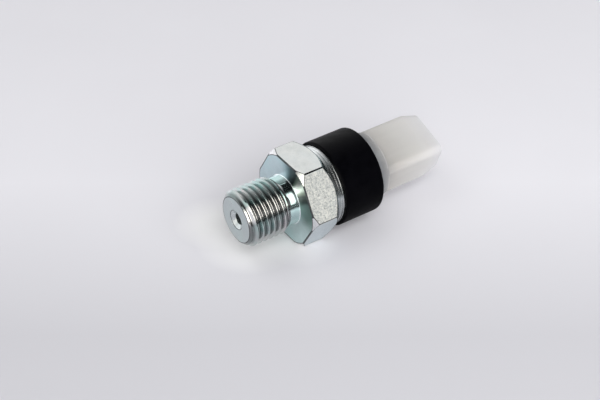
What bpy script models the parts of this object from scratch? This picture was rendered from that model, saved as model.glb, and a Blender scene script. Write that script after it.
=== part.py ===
"""Oil pressure sender: a zinc-plated threaded body with a crimped switch in it, a black collar and a plug.

Every piece is modelled upright, with its height measured along the axis from the hexagon's seat face.
Empties then lay the sender down on a flat of its hexagon, with the axis along +X, and turn the plug.
"""
import bmesh
import bpy
from math import atan2, cos, hypot, pi, radians, sin, sqrt, tan
from mathutils import Vector

# Driving dimensions, in metres

# Clearance between pieces that touch or press on one another
GAP = 0.0003

# Threaded stud
STUD_LENGTH = 0.0135
THREAD_DIAMETER = 0.0139
THREAD_PITCH = 0.0015
THREAD_DEPTH = 0.00092
TIP_CHAMFER = 0.00125
NECK_DIAMETER = 0.0120
NECK_LENGTH = 0.0029
PORT_DIAMETER = 0.0028
PORT_SINK_DIAMETER = 0.0049
PORT_SINK_DEPTH = 0.0008

# Hexagon
HEX_WIDTH = 0.0210
HEX_LENGTH = 0.0077
SEAT_REACH = 0.0005
REAR_SETBACK = 0.0001
HEX_CHAMFER = radians(45)

# Thin wall behind the hexagon, crimped over the switch
WALL_SETBACK = 0.0009
WALL_THICKNESS = 0.0010
CAVITY_FLOOR = 0.0024
RIM_REACH = 0.0014
RIM_THICKNESS = 0.0009
RIM_ROUND = 0.0005
CHAMBER_INSET = 0.0020
CHAMBER_DEPTH = 0.0007

# Diaphragm and its sealing ring
SEAL_WIRE = 0.0011
SEAL_INSET = 0.0016
DIAPHRAGM_THICKNESS = 0.0004
WAVE_DEPTH = 0.00035
WAVE_WIDTH = 0.0012

# Switch, with the shares that its inner pieces have of the spring chamber's radius
CONTACT_TRAVEL = 0.0008
CARRIER_HEIGHT = 0.0030
FOOT_DIAMETER = 0.0070
FOOT_THICKNESS = 0.0008
STEM_DIAMETER = 0.0024
FIXED_CONTACT_THICKNESS = 0.0005
FIXED_CONTACT_INSET = 0.0012
FIXED_CONTACT_HOLE_SHARE = 0.55
MOVING_CONTACT_THICKNESS = 0.0005
MOVING_CONTACT_SHARE = 0.90
SPRING_BOSS_DIAMETER = 0.0024
SPRING_BOSS_HEIGHT = 0.0006
SPRING_WIRE = 0.0004
SPRING_DIAMETER = 0.0038
SPRING_LENGTH = 0.0025
SPRING_TURNS = 3.5
CUP_SHARE = 0.70
CUP_THICKNESS = 0.0005

# Terminal base with its adjusting screw
BASE_FLANGE_HEIGHT = 0.0024
BASE_NECK_ROUND = 0.0006
BASE_RISE = 0.0026
SPRING_CHAMBER_SHARE = 0.58
BUSH_SHARE = 0.60
BUSH_FLANGE_SHARE = 0.87
BUSH_FLANGE_THICKNESS = 0.0005
SCREW_SHARE = 0.40
SCREW_SLOT_WIDTH = 0.0005
SCREW_SLOT_DEPTH = 0.0006
BASE_SEAL_HEIGHT = 0.0010
CLAMP_THICKNESS = 0.0006

# Terminals
BLADE_WIDTH = 0.0028
BLADE_THICKNESS = 0.0008
BLADE_SPACING = 0.0050
BLADE_TAPER = 0.0007
BLADE_FOOT_MARGIN = 0.0012
RIVET_DIAMETER = 0.0012
RIVET_HEAD_DIAMETER = 0.0022
RIVET_HEAD_THICKNESS = 0.0006

# Black collar
COLLAR_FRONT = 0.0101
COLLAR_REAR = 0.0207
COLLAR_SKIRT = 0.0005
COLLAR_WALL = 0.0010
COLLAR_LIP = 0.0018
COLLAR_FRONT_ROUND = 0.0003
COLLAR_REAR_ROUND = 0.0006

# Connector housing
PLUG_SHOULDER = 0.0012
PLUG_DISC_REAR = 0.0241
PLUG_DISC_ROUND = 0.0004
PLUG_FLOOR = 0.0030
SHROUD_END = 0.0408
SHROUD_WIDTH = 0.0132
SHROUD_HEIGHT = 0.0100
SHROUD_CORNER = 0.0015
SHROUD_TURN = radians(18)
LEAD_LENGTH = 0.0043
MOUTH_WIDTH = 0.0117
MOUTH_HEIGHT = 0.0078
SOCKET_WIDTH = 0.0096
SOCKET_HEIGHT = 0.0056
SOCKET_CORNER = 0.0008
SOCKET_FLOOR = 0.0256
BLADE_RECESS = 0.0045
LATCH_WIDTH = 0.0046
LATCH_LENGTH = 0.0034
LATCH_HEIGHT = 0.0010
LATCH_SETBACK = 0.0046

# Facets round a large turned piece, one inside the switch, a small one, the thread and a fillet
LARGE = 64
INNER = 40
SMALL = 24
THREAD_STEPS = 36
FILLET_STEPS = 3
SEAL_SIDES = 8

# How far a cutter runs past the face that it opens, and how far the stud runs into the hexagon
OVERSHOOT = 0.0010
STUD_ROOT = 0.0007

# Heights worked out from the driving dimensions, following the stack from the pressure side to the plug
DIAPHRAGM_LOW = CAVITY_FLOOR + GAP
DIAPHRAGM_TOP = DIAPHRAGM_LOW + DIAPHRAGM_THICKNESS
CARRIER_LOW = DIAPHRAGM_TOP + GAP
CARRIER_TOP = CARRIER_LOW + CARRIER_HEIGHT
RECESS_TOP = CARRIER_LOW + FOOT_THICKNESS + CONTACT_TRAVEL + GAP
FIXED_LOW = CARRIER_TOP + GAP
FIXED_TOP = FIXED_LOW + FIXED_CONTACT_THICKNESS
BASE_LOW = FIXED_TOP + GAP
BASE_FLANGE_TOP = BASE_LOW + BASE_FLANGE_HEIGHT
BASE_SEAL_LOW = BASE_FLANGE_TOP + GAP
BASE_SEAL_TOP = BASE_SEAL_LOW + BASE_SEAL_HEIGHT
CLAMP_LOW = BASE_SEAL_TOP + GAP
CLAMP_TOP = CLAMP_LOW + CLAMP_THICKNESS
RIM_LOW = CLAMP_TOP + GAP
RIM_TOP = RIM_LOW + RIM_THICKNESS
BASE_TOP = RIM_TOP + BASE_RISE
MOVING_TOP = BASE_LOW + MOVING_CONTACT_THICKNESS
SPRING_LOW = MOVING_TOP + GAP
CUP_LOW = SPRING_LOW + SPRING_LENGTH + GAP
CUP_TOP = CUP_LOW + CUP_THICKNESS
BUSH_LOW = CUP_TOP + GAP
BUSH_FLANGE_TOP = BUSH_LOW + BUSH_FLANGE_THICKNESS
BLADE_LOW = BASE_TOP + GAP
BLADE_TIP = SHROUD_END - BLADE_RECESS
RIVET_HEAD_LOW = BLADE_LOW + BLADE_THICKNESS + GAP
RIVET_TOP = RIVET_HEAD_LOW + RIVET_HEAD_THICKNESS
PLUG_LOW = RIM_TOP + GAP
COLLAR_LIP_LOW = COLLAR_REAR - COLLAR_LIP
PLUG_FLANGE_TOP = COLLAR_LIP_LOW - GAP

# Radii worked out from the hexagon inwards, and then outwards over the collar to the plug
WALL_RADIUS = HEX_WIDTH / 2 - WALL_SETBACK
CAVITY_RADIUS = WALL_RADIUS - WALL_THICKNESS
CAVITY_FIT = CAVITY_RADIUS - GAP
RIM_BORE = CAVITY_RADIUS - RIM_REACH
BASE_NECK = RIM_BORE - GAP
SEAL_RADIUS = CAVITY_RADIUS - SEAL_INSET
CHAMBER_RADIUS = SEAL_RADIUS - CHAMBER_INSET
SPRING_CHAMBER = BASE_NECK * SPRING_CHAMBER_SHARE
MOVING_CONTACT = SPRING_CHAMBER * MOVING_CONTACT_SHARE
COLLAR_RADIUS = WALL_RADIUS + GAP + COLLAR_SKIRT
COLLAR_BORE = COLLAR_RADIUS - COLLAR_WALL
PLUG_FLANGE = COLLAR_BORE - GAP
PLUG_DISC = PLUG_FLANGE - PLUG_SHOULDER

# Places and clearances of the rivets, which stand just clear of the moving contact
RIVET_FIT = RIVET_DIAMETER + 2 * GAP
RIVET_HEAD_FIT = RIVET_HEAD_DIAMETER + 2 * GAP
RIVET_CIRCLE = MOVING_CONTACT + GAP + RIVET_HEAD_DIAMETER / 2
RIVET_REACH = sqrt(RIVET_CIRCLE ** 2 - (BLADE_SPACING / 2) ** 2)
BLADE_FOOT = RIVET_REACH + BLADE_FOOT_MARGIN
FOOT_POCKET = hypot(BLADE_FOOT, (BLADE_SPACING + BLADE_WIDTH) / 2) + GAP


def empty_the_file():
    """Removes the objects of the file that the script is run in."""
    for item in list(bpy.data.objects):
        bpy.data.objects.remove(item, do_unlink=True)


def new_collection(name):
    """Adds a collection to the scene."""
    collection = bpy.data.collections.new(name)
    bpy.context.scene.collection.children.link(collection)
    return collection


def new_empty(name, parent=None):
    """Adds an empty to the sender's collection."""
    empty = bpy.data.objects.new(name, None)
    empty.empty_display_size = HEX_WIDTH
    empty.parent = parent
    sender.objects.link(empty)
    return empty


def new_material(name, colour, roughness, metallic=0.0):
    """Returns a plain material with one Principled BSDF."""
    material = bpy.data.materials.new(name)
    material.use_nodes = True
    shader = material.node_tree.nodes["Principled BSDF"]
    shader.inputs["Base Color"].default_value = (*colour, 1.0)
    shader.inputs["Roughness"].default_value = roughness
    shader.inputs["Metallic"].default_value = metallic
    return material


def place(name, data, material=None):
    """Adds a piece to the sender, or to the cutters if it has no material, in the turned frame."""
    item = bpy.data.objects.new(name, data)
    if material is None:
        cutters.objects.link(item)
        item.hide_render = True
        item.display_type = "WIRE"
    else:
        sender.objects.link(item)
        data.materials.append(material)
    item.parent = switch_frame
    return item


def to_mesh(name, shape):
    """Turns a finished bmesh into a mesh."""
    mesh = bpy.data.meshes.new(name)
    shape.to_mesh(mesh)
    shape.free()
    return mesh


def filleted(corners):
    """Turns corners (x, y, fillet) into outline points, with an arc at each corner that has a fillet."""
    points = []
    for index, (x, y, fillet) in enumerate(corners):
        if not fillet:
            points.append((x, y))
            continue
        here = Vector((x, y))
        before = (Vector(corners[index - 1][:2]) - here).normalized()
        after = (Vector(corners[(index + 1) % len(corners)][:2]) - here).normalized()
        half = before.angle(after) / 2
        centre = here + (before + after).normalized() * fillet / sin(half)
        start = here + before * fillet / tan(half) - centre
        end = here + after * fillet / tan(half) - centre
        first = atan2(start.y, start.x)
        sweep = (atan2(end.y, end.x) - first + pi) % (2 * pi) - pi
        for step in range(FILLET_STEPS + 1):
            angle = first + sweep * step / FILLET_STEPS
            points.append((centre.x + fillet * cos(angle), centre.y + fillet * sin(angle)))
    return points


def turned(name, corners, material=None, steps=LARGE):
    """Makes a turned piece from its half section, which runs down the outer side and back up the bore."""
    points = filleted([(*corner, 0)[:3] for corner in corners])
    count = len(points)
    solid = points[0][0] == 0 and points[-1][0] == 0
    edges = [(i, (i + 1) % count) for i in range(count - 1 if solid else count)]
    mesh = bpy.data.meshes.new(name)
    mesh.from_pydata([(radius, 0, height) for radius, height in points], edges, [])
    item = place(name, mesh, material)
    screw = item.modifiers.new("Turn", "SCREW")
    screw.steps = steps
    screw.render_steps = steps
    screw.use_merge_vertices = True
    screw.merge_threshold = 0.00001
    return item


def cylinder(name, diameter, low, top, steps=SMALL, at=(0, 0), material=None):
    """Makes a round bar, or one with a few flat sides, between two heights."""
    shape = bmesh.new()
    bmesh.ops.create_cone(shape, cap_ends=True, segments=steps, radius1=diameter / 2, radius2=diameter / 2,
                          depth=top - low)
    bmesh.ops.translate(shape, verts=shape.verts, vec=(*at, (low + top) / 2))
    return place(name, to_mesh(name, shape), material)


def box(name, size, centre):
    """Makes a box from its three sizes and its centre."""
    shape = bmesh.new()
    bmesh.ops.create_cube(shape, size=1)
    bmesh.ops.scale(shape, verts=shape.verts, vec=size)
    bmesh.ops.translate(shape, verts=shape.verts, vec=centre)
    return place(name, to_mesh(name, shape))


def extruded(name, corners, width, middle, material=None):
    """Extrudes an outline of corners (x, height, fillet) along Y, over a width about its middle."""
    shape = bmesh.new()
    outline = filleted(corners)
    face = shape.faces.new([shape.verts.new((x, middle - width / 2, height)) for x, height in outline])
    swept = bmesh.ops.extrude_face_region(shape, geom=[face])
    moved = [v for v in swept["geom"] if isinstance(v, bmesh.types.BMVert)]
    bmesh.ops.translate(shape, verts=moved, vec=(0, width, 0))
    bmesh.ops.recalc_face_normals(shape, faces=shape.faces)
    return place(name, to_mesh(name, shape), material)


def rounded_prism(name, levels, corner):
    """Lofts a rounded rectangle through levels (height, size along X, size along Y)."""
    shape = bmesh.new()
    rings = []
    for height, deep, wide in levels:
        x = deep / 2
        y = wide / 2
        outline = filleted([(-x, -y, corner), (x, -y, corner), (x, y, corner), (-x, y, corner)])
        rings.append([shape.verts.new((*point, height)) for point in outline])
    count = len(rings[0])
    for lower, upper in zip(rings, rings[1:]):
        for i in range(count):
            j = (i + 1) % count
            shape.faces.new((lower[i], lower[j], upper[j], upper[i]))
    shape.faces.new(list(reversed(rings[0])))
    shape.faces.new(rings[-1])
    return place(name, to_mesh(name, shape))


def combine(item, operation, other):
    """Adds an exact Boolean of another object."""
    step = item.modifiers.new(other.name, "BOOLEAN")
    step.operation = operation
    step.solver = "EXACT"
    step.object = other


def bake(item):
    """Replaces an object's mesh by its evaluated one, welded, and shades it smooth up to its real edges."""
    weld = item.modifiers.new("Weld", "WELD")
    weld.merge_threshold = 0.00001
    bpy.context.view_layer.update()
    evaluated = item.evaluated_get(bpy.context.evaluated_depsgraph_get())
    mesh = bpy.data.meshes.new_from_object(evaluated)
    item.modifiers.clear()
    item.data = mesh
    mesh.shade_smooth()
    mesh.set_sharp_from_angle(angle=radians(35))


def thread_rod():
    """Makes a threaded rod longer than the stud from one pitch of the tooth, and closes both its ends."""
    crest = THREAD_DIAMETER / 2
    root = crest - THREAD_DEPTH
    crest_flat = THREAD_PITCH / 8
    root_flat = THREAD_PITCH / 4
    flank = (THREAD_PITCH - crest_flat - root_flat) / 2
    tooth = [(root, THREAD_PITCH), (root, THREAD_PITCH - root_flat), (crest, flank + crest_flat),
             (crest, flank), (root, 0)]
    mesh = bpy.data.meshes.new("thread_rod")
    mesh.from_pydata([(radius, 0, height) for radius, height in tooth], [(i, i + 1) for i in range(4)], [])
    rod = place("thread_rod", mesh)
    screw = rod.modifiers.new("Thread", "SCREW")
    screw.steps = THREAD_STEPS
    screw.render_steps = THREAD_STEPS
    screw.screw_offset = THREAD_PITCH
    screw.iterations = int((STUD_LENGTH + STUD_ROOT) / THREAD_PITCH) + 4
    screw.use_merge_vertices = True
    screw.merge_threshold = 0.00001
    bake(rod)
    shape = bmesh.new()
    shape.from_mesh(rod.data)
    middle = max(v.co.z for v in shape.verts) / 2
    for low in (True, False):
        edges = [e for e in shape.edges if e.is_boundary and (e.verts[0].co.z < middle) == low]
        height = sum(v.co.z for e in edges for v in e.verts) / (2 * len(edges))
        centre = shape.verts.new((0, 0, height))
        for edge in edges:
            shape.faces.new((*edge.verts, centre))
    bmesh.ops.recalc_face_normals(shape, faces=shape.faces)
    bmesh.ops.translate(shape, verts=shape.verts, vec=(0, 0, -STUD_LENGTH - 1.5 * THREAD_PITCH))
    shape.to_mesh(rod.data)
    shape.free()
    return rod


def make_steel_body():
    """The threaded body: stud, neck, chamfered hexagon and the thin wall with its crimped rim."""
    across_corners = HEX_WIDTH / cos(pi / 6)
    body = cylinder("steel_body", across_corners, -OVERSHOOT, HEX_LENGTH + OVERSHOOT, steps=6, material=zinc)
    body.parent = lying_frame
    reach = across_corners / 2 + OVERSHOOT
    front = HEX_WIDTH / 2 + SEAT_REACH
    rear = HEX_WIDTH / 2 - REAR_SETBACK
    chamfers = turned("hexagon_chamfers", [
        (0, HEX_LENGTH), (rear, HEX_LENGTH), (reach, HEX_LENGTH - (reach - rear) * tan(HEX_CHAMFER)),
        (reach, (reach - front) * tan(HEX_CHAMFER)), (front, 0), (0, 0)])
    wall_root = CAVITY_FLOOR / 2
    crimped_wall = turned("crimped_wall", [
        (0, RIM_TOP), (WALL_RADIUS, RIM_TOP, RIM_ROUND), (WALL_RADIUS, wall_root), (0, wall_root)])
    neck = NECK_DIAMETER / 2
    clear = THREAD_DIAMETER / 2 + GAP
    tip = THREAD_DIAMETER / 2 - TIP_CHAMFER
    envelope = turned("stud_envelope", [
        (0, STUD_ROOT), (neck, STUD_ROOT), (neck, -NECK_LENGTH), (clear, neck - clear - NECK_LENGTH),
        (clear, clear - tip - STUD_LENGTH), (tip, -STUD_LENGTH), (0, -STUD_LENGTH)])
    rod = thread_rod()
    combine(rod, "INTERSECT", envelope)
    bore = PORT_DIAMETER / 2
    sink = PORT_SINK_DIAMETER / 2
    outer = SEAL_RADIUS + SEAL_WIRE / 2 + GAP
    inner = SEAL_RADIUS - SEAL_WIRE / 2 - GAP
    groove_floor = CAVITY_FLOOR - SEAL_WIRE - GAP
    chamber_floor = CAVITY_FLOOR - CHAMBER_DEPTH
    hollow = turned("pressure_side_and_cavity", [
        (0, RIM_TOP + OVERSHOOT), (RIM_BORE, RIM_TOP + OVERSHOOT), (RIM_BORE, RIM_LOW),
        (CAVITY_RADIUS, RIM_LOW), (CAVITY_RADIUS, CAVITY_FLOOR), (outer, CAVITY_FLOOR),
        (outer, groove_floor), (inner, groove_floor), (inner, CAVITY_FLOOR),
        (CHAMBER_RADIUS, CAVITY_FLOOR), (CHAMBER_RADIUS, chamber_floor), (bore, chamber_floor),
        (bore, PORT_SINK_DEPTH - STUD_LENGTH), (sink, -STUD_LENGTH), (sink, -STUD_LENGTH - OVERSHOOT),
        (0, -STUD_LENGTH - OVERSHOOT)])
    combine(body, "INTERSECT", chamfers)
    combine(body, "UNION", crimped_wall)
    combine(body, "UNION", rod)
    combine(body, "DIFFERENCE", hollow)


def make_pressure_side():
    """The diaphragm and the sealing ring under it."""
    wire = SEAL_WIRE / 2
    centre = CAVITY_FLOOR - wire
    turns = [pi / 2 - 2 * pi * i / SEAL_SIDES for i in range(SEAL_SIDES)]
    section = [(SEAL_RADIUS + wire * cos(a), centre + wire * sin(a)) for a in turns]
    turned("diaphragm_seal", section, rubber, INNER)
    outer = CHAMBER_RADIUS - GAP
    inner = outer - WAVE_WIDTH
    wave = [(0, 0), (inner, 0), (inner + WAVE_DEPTH, -WAVE_DEPTH), (outer - WAVE_DEPTH, -WAVE_DEPTH),
            (outer, 0), (CAVITY_FIT, 0)]
    upper = [(radius, height + DIAPHRAGM_TOP) for radius, height in wave]
    lower = [(radius, height + DIAPHRAGM_LOW) for radius, height in reversed(wave)]
    turned("diaphragm", upper + lower, film, INNER)


def make_switch():
    """The carrier, the two contacts, the plunger that lifts the moving one, and the return spring's cup."""
    foot = FOOT_DIAMETER / 2
    stem = STEM_DIAMETER / 2
    boss = SPRING_BOSS_DIAMETER / 2
    carrier = turned("contact_carrier", [
        (stem + GAP, CARRIER_TOP), (CAVITY_FIT, CARRIER_TOP), (CAVITY_FIT, CARRIER_LOW),
        (foot + GAP, CARRIER_LOW), (foot + GAP, RECESS_TOP), (stem + GAP, RECESS_TOP)], phenolic, INNER)
    long_rivet = (-RIVET_REACH, -BLADE_SPACING / 2)
    pocket_low = FIXED_LOW - RIVET_HEAD_THICKNESS - 2 * GAP
    pocket = cylinder("rivet_pocket_in_carrier", RIVET_HEAD_FIT, pocket_low, CARRIER_TOP + OVERSHOOT,
                      at=long_rivet)
    combine(carrier, "DIFFERENCE", pocket)
    contact_hole = SPRING_CHAMBER * FIXED_CONTACT_HOLE_SHARE
    contact_edge = CAVITY_RADIUS - FIXED_CONTACT_INSET
    fixed = turned("fixed_contact", [
        (contact_hole, FIXED_TOP), (contact_edge, FIXED_TOP), (contact_edge, FIXED_LOW),
        (contact_hole, FIXED_LOW)], brass, INNER)
    hole = cylinder("rivet_hole_in_contact", RIVET_FIT, FIXED_LOW - OVERSHOOT, FIXED_TOP + OVERSHOOT,
                    at=long_rivet)
    combine(fixed, "DIFFERENCE", hole)
    moving = turned("moving_contact", [
        (0, MOVING_TOP + SPRING_BOSS_HEIGHT), (boss, MOVING_TOP + SPRING_BOSS_HEIGHT), (boss, MOVING_TOP),
        (MOVING_CONTACT, MOVING_TOP), (MOVING_CONTACT, BASE_LOW), (0, BASE_LOW)], brass, SMALL)
    foot_top = CARRIER_LOW + FOOT_THICKNESS
    plunger = turned("plunger", [
        (0, FIXED_TOP), (stem, FIXED_TOP), (stem, foot_top), (foot, foot_top), (foot, CARRIER_LOW),
        (0, CARRIER_LOW)], phenolic, SMALL)
    for piece in (moving, plunger):
        piece.parent = contact_slide
    cup = SPRING_CHAMBER * CUP_SHARE
    turned("spring_cup", [
        (0, CUP_TOP), (cup, CUP_TOP), (cup, CUP_LOW), (boss, CUP_LOW),
        (boss, CUP_LOW - SPRING_BOSS_HEIGHT), (0, CUP_LOW - SPRING_BOSS_HEIGHT)], brass, SMALL)


def make_spring():
    """The return spring: a helix of round wire between the moving contact and the spring cup."""
    coil = (SPRING_DIAMETER - SPRING_WIRE) / 2
    low = SPRING_LOW + SPRING_WIRE / 2
    rise = SPRING_LENGTH - SPRING_WIRE
    count = int(SPRING_TURNS * 16)
    curve = bpy.data.curves.new("contact_spring", "CURVE")
    curve.dimensions = "3D"
    curve.bevel_depth = SPRING_WIRE / 2
    curve.bevel_resolution = 2
    curve.use_fill_caps = True
    spline = curve.splines.new("POLY")
    spline.points.add(count)
    for i, point in enumerate(spline.points):
        turn = 2 * pi * SPRING_TURNS * i / count
        point.co = (coil * cos(turn), coil * sin(turn), low + rise * i / count, 1)
    place("contact_spring", curve, spring_steel)


def make_terminal_base():
    """The moulded base with its adjusting screw and bush, its seal and the washer under the rim."""
    bush = SPRING_CHAMBER * BUSH_SHARE
    ceiling = BUSH_FLANGE_TOP + GAP
    base = turned("terminal_base", [
        (bush + GAP, BASE_TOP), (BASE_NECK, BASE_TOP, BASE_NECK_ROUND), (BASE_NECK, BASE_FLANGE_TOP),
        (CAVITY_FIT, BASE_FLANGE_TOP), (CAVITY_FIT, BASE_LOW), (SPRING_CHAMBER, BASE_LOW),
        (SPRING_CHAMBER, ceiling), (bush + GAP, ceiling)], phenolic, INNER)
    for side in (-1, 1):
        at = (side * RIVET_REACH, side * BLADE_SPACING / 2)
        hole = cylinder(f"rivet_hole_in_base{side:+d}", RIVET_FIT, BASE_LOW - OVERSHOOT,
                        BASE_TOP + OVERSHOOT, at=at)
        combine(base, "DIFFERENCE", hole)
    pocket_top = BASE_LOW + RIVET_HEAD_THICKNESS + 2 * GAP
    pocket = cylinder("rivet_pocket_in_base", RIVET_HEAD_FIT, BASE_LOW - OVERSHOOT, pocket_top,
                      at=(RIVET_REACH, BLADE_SPACING / 2))
    combine(base, "DIFFERENCE", pocket)
    screw = SPRING_CHAMBER * SCREW_SHARE
    flange = SPRING_CHAMBER * BUSH_FLANGE_SHARE
    turned("screw_bush", [
        (screw + GAP, BASE_TOP), (bush, BASE_TOP), (bush, BUSH_FLANGE_TOP), (flange, BUSH_FLANGE_TOP),
        (flange, BUSH_LOW), (screw + GAP, BUSH_LOW)], brass, SMALL)
    screw_top = BASE_TOP - SCREW_SLOT_DEPTH
    adjuster = turned("adjusting_screw", [
        (0, screw_top), (screw, screw_top, GAP), (screw, BUSH_LOW, GAP), (0, BUSH_LOW)], brass, SMALL)
    slot_size = (2 * screw + OVERSHOOT, SCREW_SLOT_WIDTH, 2 * SCREW_SLOT_DEPTH)
    combine(adjuster, "DIFFERENCE", box("screwdriver_slot", slot_size, (0, 0, screw_top)))
    turned("base_seal", [
        (RIM_BORE, BASE_SEAL_TOP), (CAVITY_FIT, BASE_SEAL_TOP), (CAVITY_FIT, BASE_SEAL_LOW),
        (RIM_BORE, BASE_SEAL_LOW)], rubber, INNER)
    turned("clamp_washer", [
        (RIM_BORE, CLAMP_TOP), (CAVITY_FIT, CLAMP_TOP), (CAVITY_FIT, CLAMP_LOW),
        (RIM_BORE, CLAMP_LOW)], zinc, INNER)


def make_terminal(letter, side, rivet_low):
    """One bent blade and the rivet that holds its foot; the other is the same, turned half round."""
    half = side * BLADE_THICKNESS / 2
    foot_end = side * BLADE_FOOT
    y = side * BLADE_SPACING / 2
    foot_top = BLADE_LOW + BLADE_THICKNESS
    blade = extruded(f"terminal_blade_{letter}", [
        (-half, BLADE_LOW, BLADE_THICKNESS * 0.9), (foot_end, BLADE_LOW, 0), (foot_end, foot_top, 0),
        (half, foot_top, BLADE_THICKNESS * 0.3), (half, BLADE_TIP - BLADE_TAPER, 0),
        (half / 3, BLADE_TIP, 0), (-half / 3, BLADE_TIP, 0), (-half, BLADE_TIP - BLADE_TAPER, 0)],
        BLADE_WIDTH, y, tin)
    at = (side * RIVET_REACH, y)
    hole = cylinder(f"rivet_hole_in_foot_{letter}", RIVET_FIT, BLADE_LOW - OVERSHOOT, foot_top + OVERSHOOT,
                    at=at)
    combine(blade, "DIFFERENCE", hole)
    shank = RIVET_DIAMETER / 2
    head = RIVET_HEAD_DIAMETER / 2
    head_top = rivet_low + RIVET_HEAD_THICKNESS
    rivet = turned(f"terminal_rivet_{letter}", [
        (0, RIVET_TOP), (head, RIVET_TOP, GAP), (head, RIVET_HEAD_LOW), (shank, RIVET_HEAD_LOW),
        (shank, head_top), (head, head_top), (head, rivet_low), (0, rivet_low)], brass, SMALL)
    rivet.location = (*at, 0)


def make_collar():
    """The black collar that covers the crimped rim and holds the plug's flange under its lip."""
    mouth = WALL_RADIUS + GAP
    lip = PLUG_DISC + GAP
    turned("black_collar", [
        (lip, COLLAR_REAR), (COLLAR_RADIUS, COLLAR_REAR, COLLAR_REAR_ROUND),
        (COLLAR_RADIUS, COLLAR_FRONT, COLLAR_FRONT_ROUND), (mouth, COLLAR_FRONT), (mouth, PLUG_LOW),
        (COLLAR_BORE, PLUG_LOW), (COLLAR_BORE, COLLAR_LIP_LOW), (lip, COLLAR_LIP_LOW)], black)


def make_connector():
    """The moulded plug: flange, round base and an open shroud round the blades, with a latch ramp below."""
    housing = turned("connector_housing", [
        (0, PLUG_DISC_REAR), (PLUG_DISC, PLUG_DISC_REAR, PLUG_DISC_ROUND), (PLUG_DISC, PLUG_FLANGE_TOP),
        (PLUG_FLANGE, PLUG_FLANGE_TOP), (PLUG_FLANGE, PLUG_LOW), (0, PLUG_LOW)], ivory)
    shroud = rounded_prism("shroud_outside", [
        (PLUG_DISC_REAR - OVERSHOOT, SHROUD_HEIGHT, SHROUD_WIDTH),
        (SHROUD_END - LEAD_LENGTH, SHROUD_HEIGHT, SHROUD_WIDTH),
        (SHROUD_END, MOUTH_HEIGHT, MOUTH_WIDTH)], SHROUD_CORNER)
    latch_root = (SHROUD_HEIGHT + SOCKET_HEIGHT) / 4
    latch_crest = SHROUD_HEIGHT / 2 + LATCH_HEIGHT
    latch_top = SHROUD_END - LATCH_SETBACK
    latch_low = latch_top - LATCH_LENGTH
    latch = extruded("latch_ramp", [
        (latch_root, latch_low, 0), (latch_crest, latch_low, 0),
        (latch_crest, latch_low + LATCH_LENGTH / 4, 0), (SHROUD_HEIGHT / 2, latch_top, 0),
        (latch_root, latch_top, 0)], LATCH_WIDTH, 0)
    socket = rounded_prism("socket", [
        (SOCKET_FLOOR, SOCKET_HEIGHT, SOCKET_WIDTH), (SHROUD_END + OVERSHOOT, SOCKET_HEIGHT, SOCKET_WIDTH)],
        SOCKET_CORNER)
    blades = (BLADE_SPACING + BLADE_WIDTH) / 2 + 2 * GAP
    floor_low = SOCKET_FLOOR - PLUG_FLOOR
    pocket_top = RIVET_TOP + GAP
    pocket = turned("base_pocket", [
        (0, floor_low), (blades, floor_low), (blades, pocket_top), (FOOT_POCKET, pocket_top),
        (FOOT_POCKET, BLADE_LOW), (RIM_BORE, BLADE_LOW), (RIM_BORE, PLUG_LOW - OVERSHOOT),
        (0, PLUG_LOW - OVERSHOOT)])
    combine(housing, "UNION", shroud)
    combine(housing, "UNION", latch)
    combine(housing, "DIFFERENCE", socket)
    combine(housing, "DIFFERENCE", pocket)
    for side in (-1, 1):
        size = (BLADE_THICKNESS + 2 * GAP, BLADE_WIDTH + 2 * GAP, 2 * PLUG_FLOOR)
        centre = (0, side * BLADE_SPACING / 2, SOCKET_FLOOR - PLUG_FLOOR / 2)
        combine(housing, "DIFFERENCE", box(f"blade_slot{side:+d}", size, centre))


empty_the_file()
sender = new_collection("oil_pressure_sender")
cutters = new_collection("cutters")

# The lying frame lays the axis along +X; the switch frame in it turns everything but the hexagon
lying_frame = new_empty("lying_frame")
lying_frame.location = ((STUD_LENGTH - SHROUD_END) / 2, 0, HEX_WIDTH / 2)
lying_frame.rotation_euler = (0, radians(90), 0)
switch_frame = new_empty("switch_frame", lying_frame)
switch_frame.rotation_euler = (0, 0, SHROUD_TURN)
contact_slide = new_empty("contact_slide", switch_frame)

zinc = new_material("zinc_plated_steel", (0.62, 0.65, 0.67), 0.28, 1.0)
spring_steel = new_material("spring_steel", (0.50, 0.50, 0.50), 0.30, 1.0)
brass = new_material("brass", (0.72, 0.55, 0.28), 0.30, 1.0)
tin = new_material("tinned_brass", (0.74, 0.73, 0.70), 0.32, 1.0)
rubber = new_material("black_rubber", (0.02, 0.02, 0.02), 0.60)
black = new_material("black_plastic", (0.012, 0.012, 0.014), 0.42)
phenolic = new_material("brown_phenolic", (0.12, 0.05, 0.02), 0.50)
film = new_material("amber_film", (0.55, 0.28, 0.06), 0.30)
ivory = new_material("translucent_plastic", (0.80, 0.79, 0.75), 0.40)

make_steel_body()
make_pressure_side()
make_switch()
make_spring()
make_terminal_base()
make_terminal("a", 1, BASE_LOW + GAP)
make_terminal("b", -1, FIXED_LOW - GAP - RIVET_HEAD_THICKNESS)
make_collar()
make_connector()
for piece in [item for item in sender.objects if item.type == "MESH"]:
    bake(piece)
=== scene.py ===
"""Looks of the oil pressure sender: finer outside pieces, materials, studio and camera."""

from math import atan2, cos, pi, radians, sin, sqrt

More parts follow.
